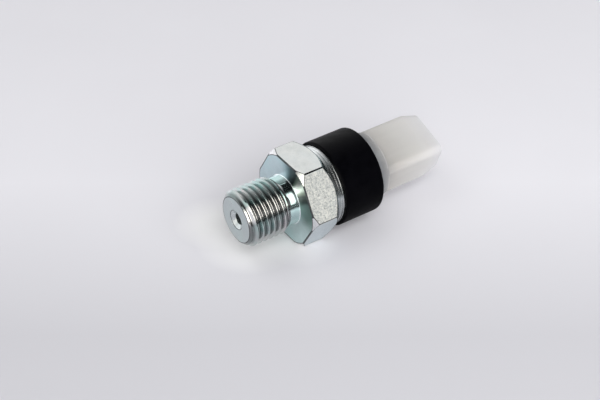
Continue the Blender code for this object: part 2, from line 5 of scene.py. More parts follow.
import bmesh
import bpy
import numpy as np
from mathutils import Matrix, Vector


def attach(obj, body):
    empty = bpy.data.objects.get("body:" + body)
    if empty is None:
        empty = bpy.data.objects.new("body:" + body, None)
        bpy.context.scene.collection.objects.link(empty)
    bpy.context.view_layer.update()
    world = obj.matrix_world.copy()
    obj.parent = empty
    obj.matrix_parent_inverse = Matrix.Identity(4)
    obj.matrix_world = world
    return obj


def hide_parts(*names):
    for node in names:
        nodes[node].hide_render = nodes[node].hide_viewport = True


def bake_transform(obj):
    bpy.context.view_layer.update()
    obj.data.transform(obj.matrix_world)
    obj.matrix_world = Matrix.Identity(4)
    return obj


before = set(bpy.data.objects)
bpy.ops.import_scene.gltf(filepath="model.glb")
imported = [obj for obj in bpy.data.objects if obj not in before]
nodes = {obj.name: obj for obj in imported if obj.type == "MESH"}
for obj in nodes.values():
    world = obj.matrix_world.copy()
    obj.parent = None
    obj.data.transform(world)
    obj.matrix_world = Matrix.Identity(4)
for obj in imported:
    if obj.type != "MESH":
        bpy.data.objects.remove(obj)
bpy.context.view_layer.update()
scene = bpy.context.scene
scene.view_settings.view_transform = "Standard"

# Sizes in millimetres: heights run along the axis from the seat face, as in the part's source
SEAT_X = -13.65
AXIS_Z = 10.5

# Stud with its port, thread and neck
TIP = -13.5
TIP_RADIUS = 5.7
PORT = 1.4
PITCH = 1.5
CREST = 6.95
THREAD_DEPTH = 0.92
THREAD_LOW = TIP + 0.08
THREAD_CONE = TIP_RADIUS + 0.06
ROOT_FILLET = 0.13
CREST_FILLET = 0.09
ROW_SNAP = 0.03
NECK = 6.0
NECK_LOW = -2.9

# Hexagon and turned wall
FLAT = 10.5
HEX_CORNER = 0.6
HEX_LENGTH = 7.7
HEX_REAR = 10.4
SEAT_RADIUS = 11.0
EDGE_BREAK = 0.14
WALL = 9.62
SHOULDER = 9.78
RIM_TOP = 13.3

# Black collar
COLLAR = 10.4
COLLAR_FRONT = 10.1
COLLAR_REAR = 20.7

# Plug with its round base, shroud, socket and latch ramp
DISC = 7.9
DISC_REAR = 24.1
SHROUD_TURN = radians(18)
SHROUD_HALF = (6.6, 5.0)
SHROUD_CORNER = 1.5
SHROUD_END = 40.8
LEAD_LENGTH = 4.3
BEND_EASE = 0.6
MOUTH_HALF = (5.85, 3.9)
SOCKET_HALF = (4.8, 2.8)
SOCKET_CORNER = 0.8
SOCKET_FLOOR = 25.6
PLUG_ROUND = 0.35
MOUTH_ROUND = 0.3
LATCH_HALF = 2.3
LATCH_ROUND = 0.2

# Contact spring
SPRING_LOW = 8.3
SPRING_HIGH = 10.8
SPRING_COIL = 1.7
SPRING_WIRE = 0.2
SPRING_TURNS = 3.5

# How fine the meshes are: points, steps, and the angles of the columns next to a hexagon's corner
CORNER_POINTS = 7
FLAT_POINTS = 22
BESIDE_CORNER = (0.008, 0.03)
OUTLINE_CORNER_STEPS = 8
OUTLINE_SIDE_STEPS = 12
QUARTER = np.linspace(0, pi / 2, 6)
SPRING_STEPS = 112
WIRE_SIDES = 12
MERGE = 0.000004
SHARP_FROM = radians(42)
BEVEL_FROM = radians(35)

# Sections of the steel body by corner: height, radius, fillet and zone; the edge zone is a painted dark
# reflection along broken edges
STUD_SECTION = [
    (1.7, PORT, 0, "bore"), (-6, PORT, 0, "bore"), (-12.75, PORT, 0.08, "sink"),
    (-13.42, 2.32, 0.04, "edge"), (-13.42, 2.42, 0, "edge"), (TIP, 2.46, 0.03, "tip"),
    (TIP, 3.4, 0, "tip"), (TIP, 4.6, 0, "tip"), (TIP, 5.48, 0, "edge"), (-13.49, 5.58, 0, "edge"),
    (-13.46, 5.69, 0, "thread")]
FACE_SECTION = [
    (-2.6, NECK, 0, "neck"), (-1.8, NECK, 0, "neck"), (-0.9, NECK, 0, "neck"), (0, NECK, 0.14, "neck"),
    (0, 6.2, 0, "face"), (0, 6.9, 0, "face"), (0, 8.0, 0, "face"), (0, 9.6, 0, "face")]
WALL_SECTION = [
    (HEX_LENGTH, SHOULDER, 0.06, "wall"), (7.95, SHOULDER, 0.08, "wall"), (8.1, WALL, 0.08, "wall"),
    (8.62, WALL, 0.05, "wall"), (8.7, WALL - 0.1, 0.04, "wall"), (8.84, WALL - 0.1, 0.04, "wall"),
    (8.92, WALL, 0.05, "wall"), (9.42, WALL, 0.05, "wall"), (9.48, WALL - 0.07, 0.03, "wall"),
    (9.58, WALL - 0.07, 0.03, "wall"), (9.64, WALL, 0.05, "wall"), (11, WALL, 0, "wall"),
    (RIM_TOP, WALL, 0.5, "wall"), (RIM_TOP, 7.2, 0.1, "wall")]
CHAMBER_SECTION = [
    (12.4, 7.2, 0, "bore"), (12.4, 8.6, 0, "bore"), (2.4, 8.6, 0, "bore"), (2.4, 7.85, 0, "bore"),
    (1.0, 7.85, 0, "bore"), (1.0, 6.15, 0, "bore"), (2.4, 6.15, 0, "bore"), (2.4, 5.0, 0, "bore"),
    (1.7, 5.0, 0, "bore")]

# The collar's section by corner: height, radius and fillet
COLLAR_SECTION = [
    (COLLAR_FRONT, 9.68, 0.05), (COLLAR_FRONT, 10.28, 0.1), (COLLAR_FRONT + 0.28, COLLAR, 0.3),
    (15, COLLAR, 0), (20.1, COLLAR, 0), (COLLAR_REAR, COLLAR, 0.55), (COLLAR_REAR, 9.2, 0),
    (COLLAR_REAR, 8.35, 0.1), (COLLAR_REAR - 0.35, 7.96, 0.1), (18.9, 7.96, 0), (18.9, 9.4, 0),
    (13.6, 9.4, 0), (13.6, 9.68, 0)]

# The plug's hidden flange and round base by height and radius, and the latch ramp by height and depth
FLANGE_SECTION = [
    (22.6, 0), (22.6, 4.5), (18.2, 4.5), (18.2, 7.2), (13.6, 7.2), (13.6, 9.1), (18.6, 9.1), (18.6, DISC),
    (20.6, DISC)]
LATCH_SECTION = [(32.8, 4.4), (32.8, 6.0), (33.65, 6.0), (36.2, 5.0), (36.2, 4.4)]


def to_world(points):
    """Turns points (height, y, z) about the sender's axis, in millimetres, into metres in the frame."""
    points = np.asarray(points, float)
    return (points + (SEAT_X, 0, AXIS_Z)) / 1000


def add_item(name, data):
    """Adds an object to the scene."""
    item = bpy.data.objects.new(name, data)
    scene.collection.objects.link(item)
    return item


def make_object(name, vertices, faces, materials, indices):
    """Adds a mesh object with its materials, merges the points that coincide and shades it smooth."""
    mesh = bpy.data.meshes.new(name)
    mesh.from_pydata([tuple(v) for v in vertices], [], faces)
    for material in materials:
        mesh.materials.append(material)
    mesh.polygons.foreach_set("material_index", indices)
    shape = bmesh.new()
    shape.from_mesh(mesh)
    bmesh.ops.remove_doubles(shape, verts=shape.verts, dist=MERGE)
    bmesh.ops.recalc_face_normals(shape, faces=shape.faces)
    shape.to_mesh(mesh)
    shape.free()
    item = add_item(name, mesh)
    mesh.shade_smooth()
    mesh.set_sharp_from_angle(angle=SHARP_FROM)
    weighted = item.modifiers.new("Weighted", "WEIGHTED_NORMAL")
    weighted.keep_sharp = True
    weighted.weight = 90
    return item


def add_bevel(item, width, segments):
    """Rounds the hard edges of an object in its look only."""
    bevel = item.modifiers.new("Bevel", "BEVEL")
    bevel.width = width
    bevel.segments = segments
    bevel.limit_method = "ANGLE"
    bevel.angle_limit = BEVEL_FROM
    bevel.harden_normals = True


def grid(rows, closed_rows, wrap):
    """Returns the quads between neighbouring rows, and the row and column of each."""
    columns = len(rows[0])
    faces = []
    places = []
    last = len(rows) if closed_rows else len(rows) - 1
    for j in range(last):
        k = (j + 1) % len(rows)
        for i in range(columns if wrap else columns - 1):
            n = (i + 1) % columns
            faces.append((j * columns + i, j * columns + n, k * columns + n, k * columns + i))
            places.append((j, i))
    return faces, places


def hexagon_columns():
    """Returns the angles and radii round a hexagon with rounded corners and an upper and a lower flat."""
    centre = (FLAT - HEX_CORNER) / cos(pi / 6)
    sector = []
    for a in np.radians(np.linspace(-30, 30, CORNER_POINTS)):
        x = centre + HEX_CORNER * cos(a)
        y = HEX_CORNER * sin(a)
        sector.append((atan2(y, x), sqrt(x * x + y * y)))
    edge = sector[-1][0]
    near, far = BESIDE_CORNER
    across = np.linspace(edge + far, pi / 3 - edge - far, FLAT_POINTS)
    for a in (edge + near, *across, pi / 3 - edge - near):
        sector.append((a, FLAT / cos(a - pi / 6)))
    angles = [a + k * pi / 3 for k in range(6) for a, _ in sector]
    radii = [r for _ in range(6) for _, r in sector]
    return np.array(angles + [angles[0] + 2 * pi]), np.array(radii + radii[:1])


THETA, HEX_RADIUS = hexagon_columns()
SECTOR = (len(THETA) - 1) // 6

# The angle of the facet that lies in the light, whose colour is a painted highlight
HIGHLIGHT_FACET = 2 * pi / 3

# The columns of a corner that its painted dark reflection covers, and the corner where it's wide
REFLECTION_COLUMNS = (2, 3)
WIDE_REFLECTION_COLUMNS = (1, 4)
WIDE_CORNER = 2


def corner_reflection_zones(flat, painted_ridge_reflection):
    """Returns a zone for each column: each corner of the hexagon gets a painted dark reflection."""
    zones = []
    for column in range(len(THETA)):
        corner, step = divmod(column, SECTOR)
        first, last = WIDE_REFLECTION_COLUMNS if corner == WIDE_CORNER else REFLECTION_COLUMNS
        zones.append(painted_ridge_reflection if first <= step <= last else flat)
    return zones


def line(points, steps=4):
    """Returns section rows from corners (height, radius, fillet, zone); a size may vary by column."""
    corners = [np.stack([np.zeros_like(THETA) + h, np.zeros_like(THETA) + r], -1) for h, r, _, _ in points]
    rows = []
    zones = []
    for index, (_, _, fillet, zone) in enumerate(points):
        here = corners[index]
        if not fillet:
            rows.append(here)
            zones.append(zone)
            continue
        before = corners[index - 1] - here
        after = corners[(index + 1) % len(points)] - here
        before /= np.linalg.norm(before, axis=-1, keepdims=True)
        after /= np.linalg.norm(after, axis=-1, keepdims=True)
        half = np.arccos(np.clip((before * after).sum(-1), -1, 1)) / 2
        inwards = before + after
        inwards /= np.linalg.norm(inwards, axis=-1, keepdims=True)
        centre = here + inwards * (fillet / np.sin(half))[:, None]
        start = here + before * (fillet / np.tan(half))[:, None] - centre
        end = here + after * (fillet / np.tan(half))[:, None] - centre
        first = np.arctan2(start[:, 1], start[:, 0])
        sweep = (np.arctan2(end[:, 1], end[:, 0]) - first + pi) % (2 * pi) - pi
        for k in range(steps + 1):
            a = first + sweep * k / steps
            rows.append(centre + fillet * np.stack([np.cos(a), np.sin(a)], -1))
            zones.append(zone)
    return rows, zones


def thread_rows():
    """Returns the thread's rows, which follow its right-hand helix and stop at the tip and the neck."""
    low, high = THREAD_LOW, NECK_LOW
    root = CREST - THREAD_DEPTH
    root_flat, crest_flat = PITCH / 4, PITCH / 8
    flank = (PITCH - root_flat - crest_flat) / 2
    corners = [(0, root), (root_flat / 2, root), (root_flat / 2 + flank, CREST),
               (PITCH - root_flat / 2 - flank, CREST), (PITCH - root_flat / 2, root), (PITCH, root)]
    table = [corners[0]]
    for index, size in enumerate((ROOT_FILLET, CREST_FILLET, CREST_FILLET, ROOT_FILLET), 1):
        here = Vector(corners[index])
        before = (Vector(corners[index - 1]) - here).normalized()
        after = (Vector(corners[index + 1]) - here).normalized()
        for t in (0.0, 0.2, 0.5, 0.8, 1.0):
            bend = (1 - t) ** 2 * before + t ** 2 * after
            table.append(tuple(here + bend * size))
        if index in (1, 3):
            step = Vector(corners[index + 1]) - here
            table += [tuple(here + step * t) for t in (0.35, 0.65)]
    table = np.array(sorted(set(table)))
    base = TIP - PITCH
    lead = PITCH * (THETA - THETA[0]) / (2 * pi)
    rows = []
    for turn in range(-1, int((high - low) / PITCH) + 3):
        for offset, _ in table:
            h = np.clip(base + turn * PITCH + offset + lead, low, high)
            h = np.where(h - low < ROW_SNAP, low, np.where(high - h < ROW_SNAP, high, h))
            r = np.interp((h - base - lead) % PITCH, table[:, 0], table[:, 1])
            r = np.minimum(r, THREAD_CONE + (h - low))
            r = np.minimum(r, NECK + (high - h))
            rows.append(np.stack([h, r], -1))
    return rows


def make_turned(name, rows, zones, materials):
    """Builds a turned piece from section rows; a zone is a material's name, or a list of them by column."""
    ways = np.stack([np.cos(THETA), np.sin(THETA)], -1)
    points = [np.concatenate([row[:, :1], row[:, 1:] * ways], -1) for row in rows]
    faces, places = grid(points, True, False)
    names = list(materials)
    indices = [names.index(zones[j] if isinstance(zones[j], str) else zones[j][i]) for j, i in places]
    return make_object(name, to_world(np.concatenate(points)), faces, list(materials.values()), indices)


def make_steel(materials):
    """The steel body: port, tip, thread, neck, hexagon, turned wall with fine grooves, and crimped rim,
    with painted dark reflections along its broken edges and the hexagon's corners.
    """
    front, front_zones = line(STUD_SECTION)
    thread = thread_rows()
    seat = np.minimum(HEX_RADIUS - EDGE_BREAK, SEAT_RADIUS)
    back = np.minimum(HEX_RADIUS - EDGE_BREAK, HEX_REAR)
    edge = HEX_RADIUS - seat
    rear = HEX_LENGTH - HEX_RADIUS + back
    # The facet that faces the light gets a painted highlight
    facet = np.where(np.cos(THETA - HIGHLIGHT_FACET) > 0.9, "facet_painted_highlight", "facet")
    # Narrow facets, and the rows of the edge zone below, get a painted dark reflection along the broken
    # edges
    facet = list(np.where(edge < 0.2, "edge", facet))
    # Each corner of the hexagon gets a painted dark reflection
    flats = corner_reflection_zones("flat", "painted_ridge_reflection")
    rest, rest_zones = line([
        *FACE_SECTION, (0, seat - 0.22, 0, "edge"), (0, seat, 0.06, facet),
        (edge - 0.02, HEX_RADIUS - 0.02, 0, "edge"), (edge, HEX_RADIUS, 0.014, "edge"),
        (edge + 0.16, HEX_RADIUS, 0, flats), (HEX_LENGTH / 2, HEX_RADIUS, 0, flats),
        (rear - 0.18, HEX_RADIUS, 0, "edge"), (rear, HEX_RADIUS, 0.12, "rear"),
        (HEX_LENGTH, back, 0.1, "wall"), *WALL_SECTION, *CHAMBER_SECTION], 3)
    rows = front + thread + rest
    zones = front_zones + ["thread"] * len(thread) + rest_zones
    return make_turned("steel_body_detailed", rows, zones, materials)


def make_collar(material):
    """The black collar: a thin skirt over the steel wall, a rounded rear edge and a lip round the plug."""
    rows, zones = line([(*corner, "black") for corner in COLLAR_SECTION], 5)
    return make_turned("black_collar_detailed", rows, zones, {"black": material})


def rounded_outline(half, corner, more=0.0):
    """Returns the points of a rounded rectangle, moved out by a distance, with as many for any size."""
    corner += more
    straight = np.array(half) + more - corner
    quadrants = ((1, 1), (-1, 1), (-1, -1), (1, -1))
    points = []
    for k, quadrant in enumerate(quadrants):
        for step in range(OUTLINE_CORNER_STEPS + 1):
            a = (k + step / OUTLINE_CORNER_STEPS) * pi / 2
            points.append(quadrant * straight + corner * np.array([cos(a), sin(a)]))
        start = points[-1]
        end = quadrants[(k + 1) % 4] * straight + corner * np.array([cos(a), sin(a)])
        points += [start + (end - start) * t for t in np.linspace(0, 1, OUTLINE_SIDE_STEPS + 2)[1:-1]]
    return np.array(points)


def make_housing(material):
    """The moulded plug: flange, round base, shroud with a tapered mouth, and socket round the blades."""
    outline = rounded_outline(SHROUD_HALF, SHROUD_CORNER)
    angle = np.arctan2(outline[:, 1], outline[:, 0])
    ring = np.stack([np.cos(angle), np.sin(angle)], -1)
    levels = [(h, r * ring) for h, r in FLANGE_SECTION]
    for t in QUARTER:
        levels.append((DISC_REAR - PLUG_ROUND * (1 - sin(t)), (DISC - PLUG_ROUND * (1 - cos(t))) * ring))
    levels.append((DISC_REAR, (DISC - 0.40) * ring))
    for t in QUARTER:
        foot = rounded_outline(SHROUD_HALF, SHROUD_CORNER, PLUG_ROUND * (1 - sin(t)))
        reach = np.linalg.norm(foot, axis=1, keepdims=True)
        foot = foot * np.minimum(1, (DISC - 0.12) / reach)
        levels.append((DISC_REAR + 0.02 + PLUG_ROUND * (1 - cos(t)), foot))
    bend = SHROUD_END - LEAD_LENGTH
    levels += [(30, outline), (bend - BEND_EASE, outline)]
    slope = np.subtract(SHROUD_HALF, MOUTH_HALF) / LEAD_LENGTH
    for t in np.linspace(0, 1, 6)[1:]:
        eased = 2 * BEND_EASE * t
        size = SHROUD_HALF - slope * eased ** 2 / (4 * BEND_EASE)
        levels.append((bend - BEND_EASE + eased, rounded_outline(size, SHROUD_CORNER)))
    for t in QUARTER:
        along = LEAD_LENGTH - MOUTH_ROUND * (1 - sin(t))
        size = SHROUD_HALF - slope * along - MOUTH_ROUND * (1 - cos(t))
        levels.append((bend + along, rounded_outline(size, SHROUD_CORNER)))
    for t in QUARTER:
        edge = rounded_outline(SOCKET_HALF, SOCKET_CORNER, PLUG_ROUND * (1 - sin(t)))
        levels.append((SHROUD_END - PLUG_ROUND * (1 - cos(t)), edge))
    for h in (36, 31, SOCKET_FLOOR + MOUTH_ROUND):
        levels.append((h, rounded_outline(SOCKET_HALF, SOCKET_CORNER)))
    for t in np.linspace(0, pi / 2, 4)[1:]:
        edge = rounded_outline(SOCKET_HALF, SOCKET_CORNER, -MOUTH_ROUND * (1 - cos(t)))
        levels.append((SOCKET_FLOOR + MOUTH_ROUND * (1 - sin(t)), edge))
    levels.append((SOCKET_FLOOR, rounded_outline((4.0, 2.0), 0.4)))
    levels.append((SOCKET_FLOOR, 0 * ring))
    turn = np.array([[cos(SHROUD_TURN), sin(SHROUD_TURN)], [-sin(SHROUD_TURN), cos(SHROUD_TURN)]])
    rows = [np.concatenate([np.full((len(p), 1), float(h)), p @ turn], -1) for h, p in levels]
    faces, _ = grid(rows, False, True)
    vertices = to_world(np.concatenate(rows))
    return make_object("connector_housing_detailed", vertices, faces, [material], [0] * len(faces))


def make_latch(material):
    """The latch ramp under the shroud, with rounded edges."""
    cosine, sine = cos(SHROUD_TURN), sin(SHROUD_TURN)
    shape = bmesh.new()
    rows = []
    for y in (-LATCH_HALF, LATCH_HALF):
        points = [(h, y * cosine + d * sine, y * sine - d * cosine) for h, d in LATCH_SECTION]
        rows.append([shape.verts.new(p) for p in to_world(points)])
    count = len(LATCH_SECTION)
    for i in range(count):
        j = (i + 1) % count
        shape.faces.new((rows[0][i], rows[0][j], rows[1][j], rows[1][i]))
    shape.faces.new(rows[0])
    shape.faces.new(rows[1])
    bmesh.ops.recalc_face_normals(shape, faces=shape.faces)
    mesh = bpy.data.meshes.new("latch_ramp")
    shape.to_mesh(mesh)
    shape.free()
    mesh.materials.append(material)
    item = add_item("latch_ramp", mesh)
    add_bevel(item, LATCH_ROUND / 1000, 4)
    return item


def make_spring(material):
    """The contact spring: a helix of round wire from the moving contact to the spring cup."""
    turns = np.linspace(0, SPRING_TURNS, SPRING_STEPS + 1)[:, None]
    around = np.arange(WIRE_SIDES) * 2 * pi / WIRE_SIDES
    angle = 2 * pi * turns + SHROUD_TURN - pi / 2
    lead = (SPRING_HIGH - SPRING_LOW - 2 * SPRING_WIRE) / SPRING_TURNS
    height = SPRING_LOW + SPRING_WIRE + lead * turns + SPRING_WIRE * np.sin(around)
    radius = SPRING_COIL + SPRING_WIRE * np.cos(around)
    rows = np.stack([height, radius * np.cos(angle), radius * np.sin(angle)], -1)
    faces, _ = grid(rows, False, True)
    last = SPRING_STEPS * WIRE_SIDES
    faces += [tuple(range(WIRE_SIDES)), tuple(range(last, last + WIRE_SIDES))]
    vertices = to_world(np.concatenate(rows))
    return make_object("contact_spring_coil", vertices, faces, [material], [0] * len(faces))


class Nodes:
    """A node tree, with short ways to add nodes to it."""

    def __init__(self, tree):
        self.tree = tree

    def set(self, node, values):
        """Sets or links a node's inputs by name or number."""
        for key, value in values.items():
            if isinstance(value, bpy.types.NodeSocket):
                self.tree.links.new(value, node.inputs[key])
            else:
                node.inputs[key].default_value = value

    def add(self, kind, values=None, **settings):
        """Adds a node."""
        node = self.tree.nodes.new(kind)
        for key, value in settings.items():
            setattr(node, key, value)
        self.set(node, values or {})
        return node

    def math(self, operation, *values):
        """Adds a Math node and returns its result."""
        return self.add("ShaderNodeMath", dict(enumerate(values)), operation=operation).outputs[0]

    def times(self, first, second):
        """Multiplies two values."""
        return self.math("MULTIPLY", first, second)

    def ramp(self, factor, *stops):
        """Returns a colour ramp of (position, colour) stops, where a number stands for a grey."""
        node = self.add("ShaderNodeValToRGB", {"Fac": factor})
        while len(node.color_ramp.elements) < len(stops):
            node.color_ramp.elements.new(0.5)
        for element, (position, colour) in zip(node.color_ramp.elements, stops):
            element.position = position
            element.color = (*colour, 1) if isinstance(colour, tuple) else (colour, colour, colour, 1)
        return node.outputs[0]

    def span(self, factor, low, high, to_low, to_high, **settings):
        """Maps a range to another one, clamped."""
        values = {"Value": factor, "From Min": low, "From Max": high, "To Min": to_low, "To Max": to_high}
        return self.add("ShaderNodeMapRange", values, **settings).outputs["Result"]

    def mix(self, factor, first, second, blend="MIX"):
        """Mixes two colours, each a socket or its red, green and blue."""
        first, second = [(*c, 1) if isinstance(c, tuple) else c for c in (first, second)]
        values = {0: factor, 6: first, 7: second}
        return self.add("ShaderNodeMix", values, data_type="RGBA", blend_type=blend).outputs[2]


class Look(Nodes):
    """A material under construction: one Principled BSDF and what feeds it."""

    def __init__(self, name, colour, roughness, metallic=0.0, **sockets):
        self.material = bpy.data.materials.new(name)
        self.material.use_nodes = True
        super().__init__(self.material.node_tree)
        self.shader = self.tree.nodes["Principled BSDF"]
        self.set(self.shader, {"Base Color": (*colour, 1), "Roughness": roughness, "Metallic": metallic})
        self.set(self.shader, {key.replace("_", " "): value for key, value in sockets.items()})
        self.place = self.add("ShaderNodeTexCoord").outputs["Object"]
        self.normal = None
        self.colour = None

    def paint(self, colour, roughness=None):
        """Feeds the colour, and the roughness if there is one."""
        self.set(self.shader, {"Base Color": colour})
        if roughness is not None:
            self.set(self.shader, {"Roughness": roughness})

    def scaled(self, scale):
        """Returns the coordinates times a scale for each axis."""
        return self.add("ShaderNodeMapping", {"Vector": self.place, "Scale": scale}).outputs[0]

    def noise(self, scale, detail=3.0, rough=0.55, place=None, distortion=0.0):
        """Returns a noise between 0 and 1."""
        node = self.add("ShaderNodeTexNoise", {
            "Vector": place or self.place, "Scale": scale, "Detail": detail, "Roughness": rough,
            "Distortion": distortion})
        return node.outputs["Fac"]

    def cells(self, scale):
        """Returns the distance to the nearest point of a cell pattern."""
        return self.add("ShaderNodeTexVoronoi", {"Vector": self.place, "Scale": scale}).outputs["Distance"]

    def bump(self, height, strength, distance):
        """Adds a bump on top of those before it."""
        values = {"Height": height, "Strength": strength, "Distance": distance}
        if self.normal:
            values["Normal"] = self.normal
        self.normal = self.add("ShaderNodeBump", values).outputs[0]
        self.set(self.shader, {"Normal": self.normal})

    def rings(self, pitch, strength, distance):
        """Adds the fine rings of a turned face."""
        self.bump(self.math("SINE", self.times(self.radius(), 2 * pi / pitch)), strength, distance)

    def painted_light_pool(self, colour, centre, reach, strength, tint):
        """Tints a colour round a point, as a painted pool of light: fully within the first reach, and not
        beyond the second.
        """
        centre = tuple(size / 1000 for size in centre)
        near, far = (size / 1000 for size in reach)
        away = self.add("ShaderNodeVectorMath", {0: self.place, 1: centre}, operation="DISTANCE")
        return self.mix(self.span(away.outputs["Value"], near, far, strength, 0.0), colour, tint)

    def parts(self):
        """Returns the three coordinates."""
        return self.add("ShaderNodeSeparateXYZ", {0: self.place}).outputs

    def radius(self):
        """Returns the distance from the sender's axis."""
        _, y, z = self.parts()
        z = self.math("SUBTRACT", z, AXIS_Z / 1000)
        return self.math("SQRT", self.math("ADD", self.times(y, y), self.times(z, z)))

    def turned(self):
        """Returns the angle round the axis as a share: 0.5 behind it, 0.75 on top, 1 on the near side."""
        _, y, z = self.parts()
        angle = self.math("ARCTAN2", self.math("SUBTRACT", z, AXIS_Z / 1000), y)
        return self.math("MULTIPLY_ADD", angle, 0.5 / pi, 0.5)


# Zinc by zone of the steel body: two greys, the film's tint, roughness, its spread and any other grain
ZINC = {
    "bore": ((0.42, 0.44, 0.45), (0.30, 0.32, 0.33), (0.36, 0.42, 0.42), 0.40, 0.08),
    "sink": ((0.66, 0.69, 0.70), (0.40, 0.43, 0.44), (0.58, 0.64, 0.64), 0.26, 0.08),
    "tip": ((0.54, 0.59, 0.60), (0.50, 0.55, 0.56), (0.52, 0.60, 0.60), 0.33, 0.06),
    "thread": ((0.50, 0.51, 0.51), (0.42, 0.45, 0.45), (0.34, 0.50, 0.49), 0.10, 0.03, 0.05),
    "neck": ((0.84, 0.90, 0.91), (0.76, 0.86, 0.88), (0.74, 0.90, 0.88), 0.06, 0.02, 0.03),
    "face": ((0.95, 0.97, 0.96), (0.86, 0.89, 0.88), (0.86, 0.95, 0.93), 0.14, 0.04, 0.06),
    "facet": ((0.74, 0.75, 0.76), (0.66, 0.67, 0.68), (0.72, 0.72, 0.74), 0.25, 0.06),
    # Painted highlight on the facet that faces the light
    "facet_painted_highlight": ((0.92, 0.94, 0.90), (0.86, 0.88, 0.84), (0.88, 0.92, 0.88), 0.22, 0.05),
    "flat": ((0.81, 0.83, 0.82), (0.70, 0.73, 0.72), (0.77, 0.81, 0.81), 0.58, 0.08),
    "rear": ((0.60, 0.66, 0.68), (0.46, 0.52, 0.55), (0.46, 0.62, 0.64), 0.18, 0.05),
    # Painted dark reflection along broken edges
    "edge": ((0.10, 0.11, 0.115), (0.05, 0.055, 0.06), (0.08, 0.10, 0.10), 0.34, 0.08),
    # Painted dark reflection along the hexagon's corners
    "painted_ridge_reflection": ((0.035, 0.04, 0.045), (0.015, 0.018, 0.02), (0.03, 0.04, 0.04), 0.40, 0.08),
    "wall": ((0.62, 0.64, 0.65), (0.46, 0.49, 0.50), (0.56, 0.62, 0.62), 0.20, 0.06)}

# Lines left by the lathe, by zone: the noise's scale, detail and roughness, the bump's strength and depth
TURNED_LINES = {
    "neck": ((14000, 300, 300), 2, 0.5, 0.06, 0.00001),
    "wall": ((9000, 120, 120), 4, 0.7, 0.4, 0.00004)}

# Heights over the floor in metres: the flats are darker and grainier below the first pair, and turn a
# painted shade of bluish grey below the second
DARKER_GRAINIER_BELOW = (0.0209, 0.0205)
PAINTED_SHADE_BELOW = (0.0106, 0.0100)

# The turned seat face as the camera sees it, by angle: painted highlights and painted dark reflections in
# sectors, as turning marks gather the light
FACE_PAINTED_SECTORS = [
    (-180, (0.22, 0.34, 0.31)), (-168, (0.40, 0.52, 0.52)), (-155, (0.62, 0.74, 0.76)),
    (-110, (0.62, 0.74, 0.76)), (0, (0.56, 0.67, 0.72)), (80, (0.56, 0.67, 0.72)), (89, (0.42, 0.54, 0.59)),
    (97, (0.16, 0.24, 0.27)), (103, (0.05, 0.09, 0.10)), (115, (0.06, 0.09, 0.09)),
    (119, (0.50, 0.62, 0.52)), (123, (1.0, 1.0, 0.98)), (133, (0.94, 1.0, 0.94)), (138, (0.22, 0.26, 0.22)),
    (143, (0.04, 0.055, 0.05)), (151, (0.04, 0.06, 0.055)), (158, (0.14, 0.22, 0.20)),
    (165, (0.20, 0.31, 0.27)), (180, (0.22, 0.34, 0.31))]
FACE_SEEN_BY_METAL = (0.60, 0.72, 0.72)

# The middle of the painted highlight along the thread's near side, as a share of a turn
THREAD_HIGHLIGHT = 0.89

# The plug's colour by height, with a painted shade that darkens it towards the collar, as light gets into
# its hollow end and dies towards the collar
PLUG_RANGE = (20, 41)
PLUG_COLOURS_AND_SHADE = [
    (22.4, (0.22, 0.225, 0.235)), (23.6, (0.27, 0.27, 0.27)), (24.4, (0.38, 0.37, 0.36)),
    (27, (0.475, 0.46, 0.44)), (31, (0.54, 0.53, 0.51)), (36, (0.595, 0.585, 0.575)),
    (40.5, (0.63, 0.625, 0.635))]


def zinc(name, light, dark, tint, rough, rough_span, grain=0.12):
    """Bright zinc plate: soft patches of two greys, a faint coloured film and fine pits."""
    look = Look(name, light, rough, 1.0)
    patches = look.noise(420, 4, 0.6)
    colour = look.ramp(patches, (0.32, dark), (0.62, light))
    coat = look.noise(190, 2, 0.5, distortion=0.6)
    colour = look.mix(look.span(coat, 0.45, 0.68, 0.0, 0.75), colour, tint)
    pit = tuple(level * 0.45 for level in dark)
    look.colour = look.mix(look.span(look.cells(2600), 0.06, 0.14, 0.55, 0.0), colour, pit)
    smear = look.noise(900, 3, 0.6)
    look.paint(look.colour, look.span(smear, 0.3, 0.7, rough - rough_span, rough + rough_span))
    look.bump(look.noise(5200, 3, 0.6), grain, 0.00004)
    return look


def finish_flat(look):
    """The hexagon's flats: rolled bar under the plate, with a sandy grain, dark pits and pale scratches,
    darker and grainier below the top flat, and a painted shade of bluish grey on the lower flats.
    """
    look.set(look.shader, {"Metallic": 0.3})
    height = look.parts()[2]
    below_top = look.span(height, *DARKER_GRAINIER_BELOW, 0.12, 1.0)
    grain = look.noise(2400, 6, 0.8)
    dark = look.span(grain, 0.34, 0.48, 0.85, 0.0)
    light = look.span(grain, 0.48, 0.58, 0.0, 0.95)
    pits = look.span(look.cells(1000), 0.08, 0.20, 0.8, 0.0)
    streaks = look.noise(1.0, 2, 0.6, place=look.scaled((2600, 420, 420)))
    scratches = look.span(streaks, 0.60, 0.66, 0.0, 0.5)
    marks = ((dark, (0.24, 0.26, 0.235)), (light, (0.75, 0.75, 0.685)), (pits, (0.20, 0.22, 0.20)),
             (scratches, (0.88, 0.88, 0.82)))
    # Below the top flat the flats are darker and grainier
    colour = look.mix(below_top, look.colour, (0.68, 0.675, 0.66), "MULTIPLY")
    for mark, tint in marks:
        colour = look.mix(look.times(mark, below_top), colour, tint)
    # Painted shade: the lower flats turn bluish grey
    look.paint(look.mix(look.span(height, *PAINTED_SHADE_BELOW, 0.0, 0.8), colour, (0.48, 0.545, 0.59)))
    look.bump(grain, 0.5, 0.00006)


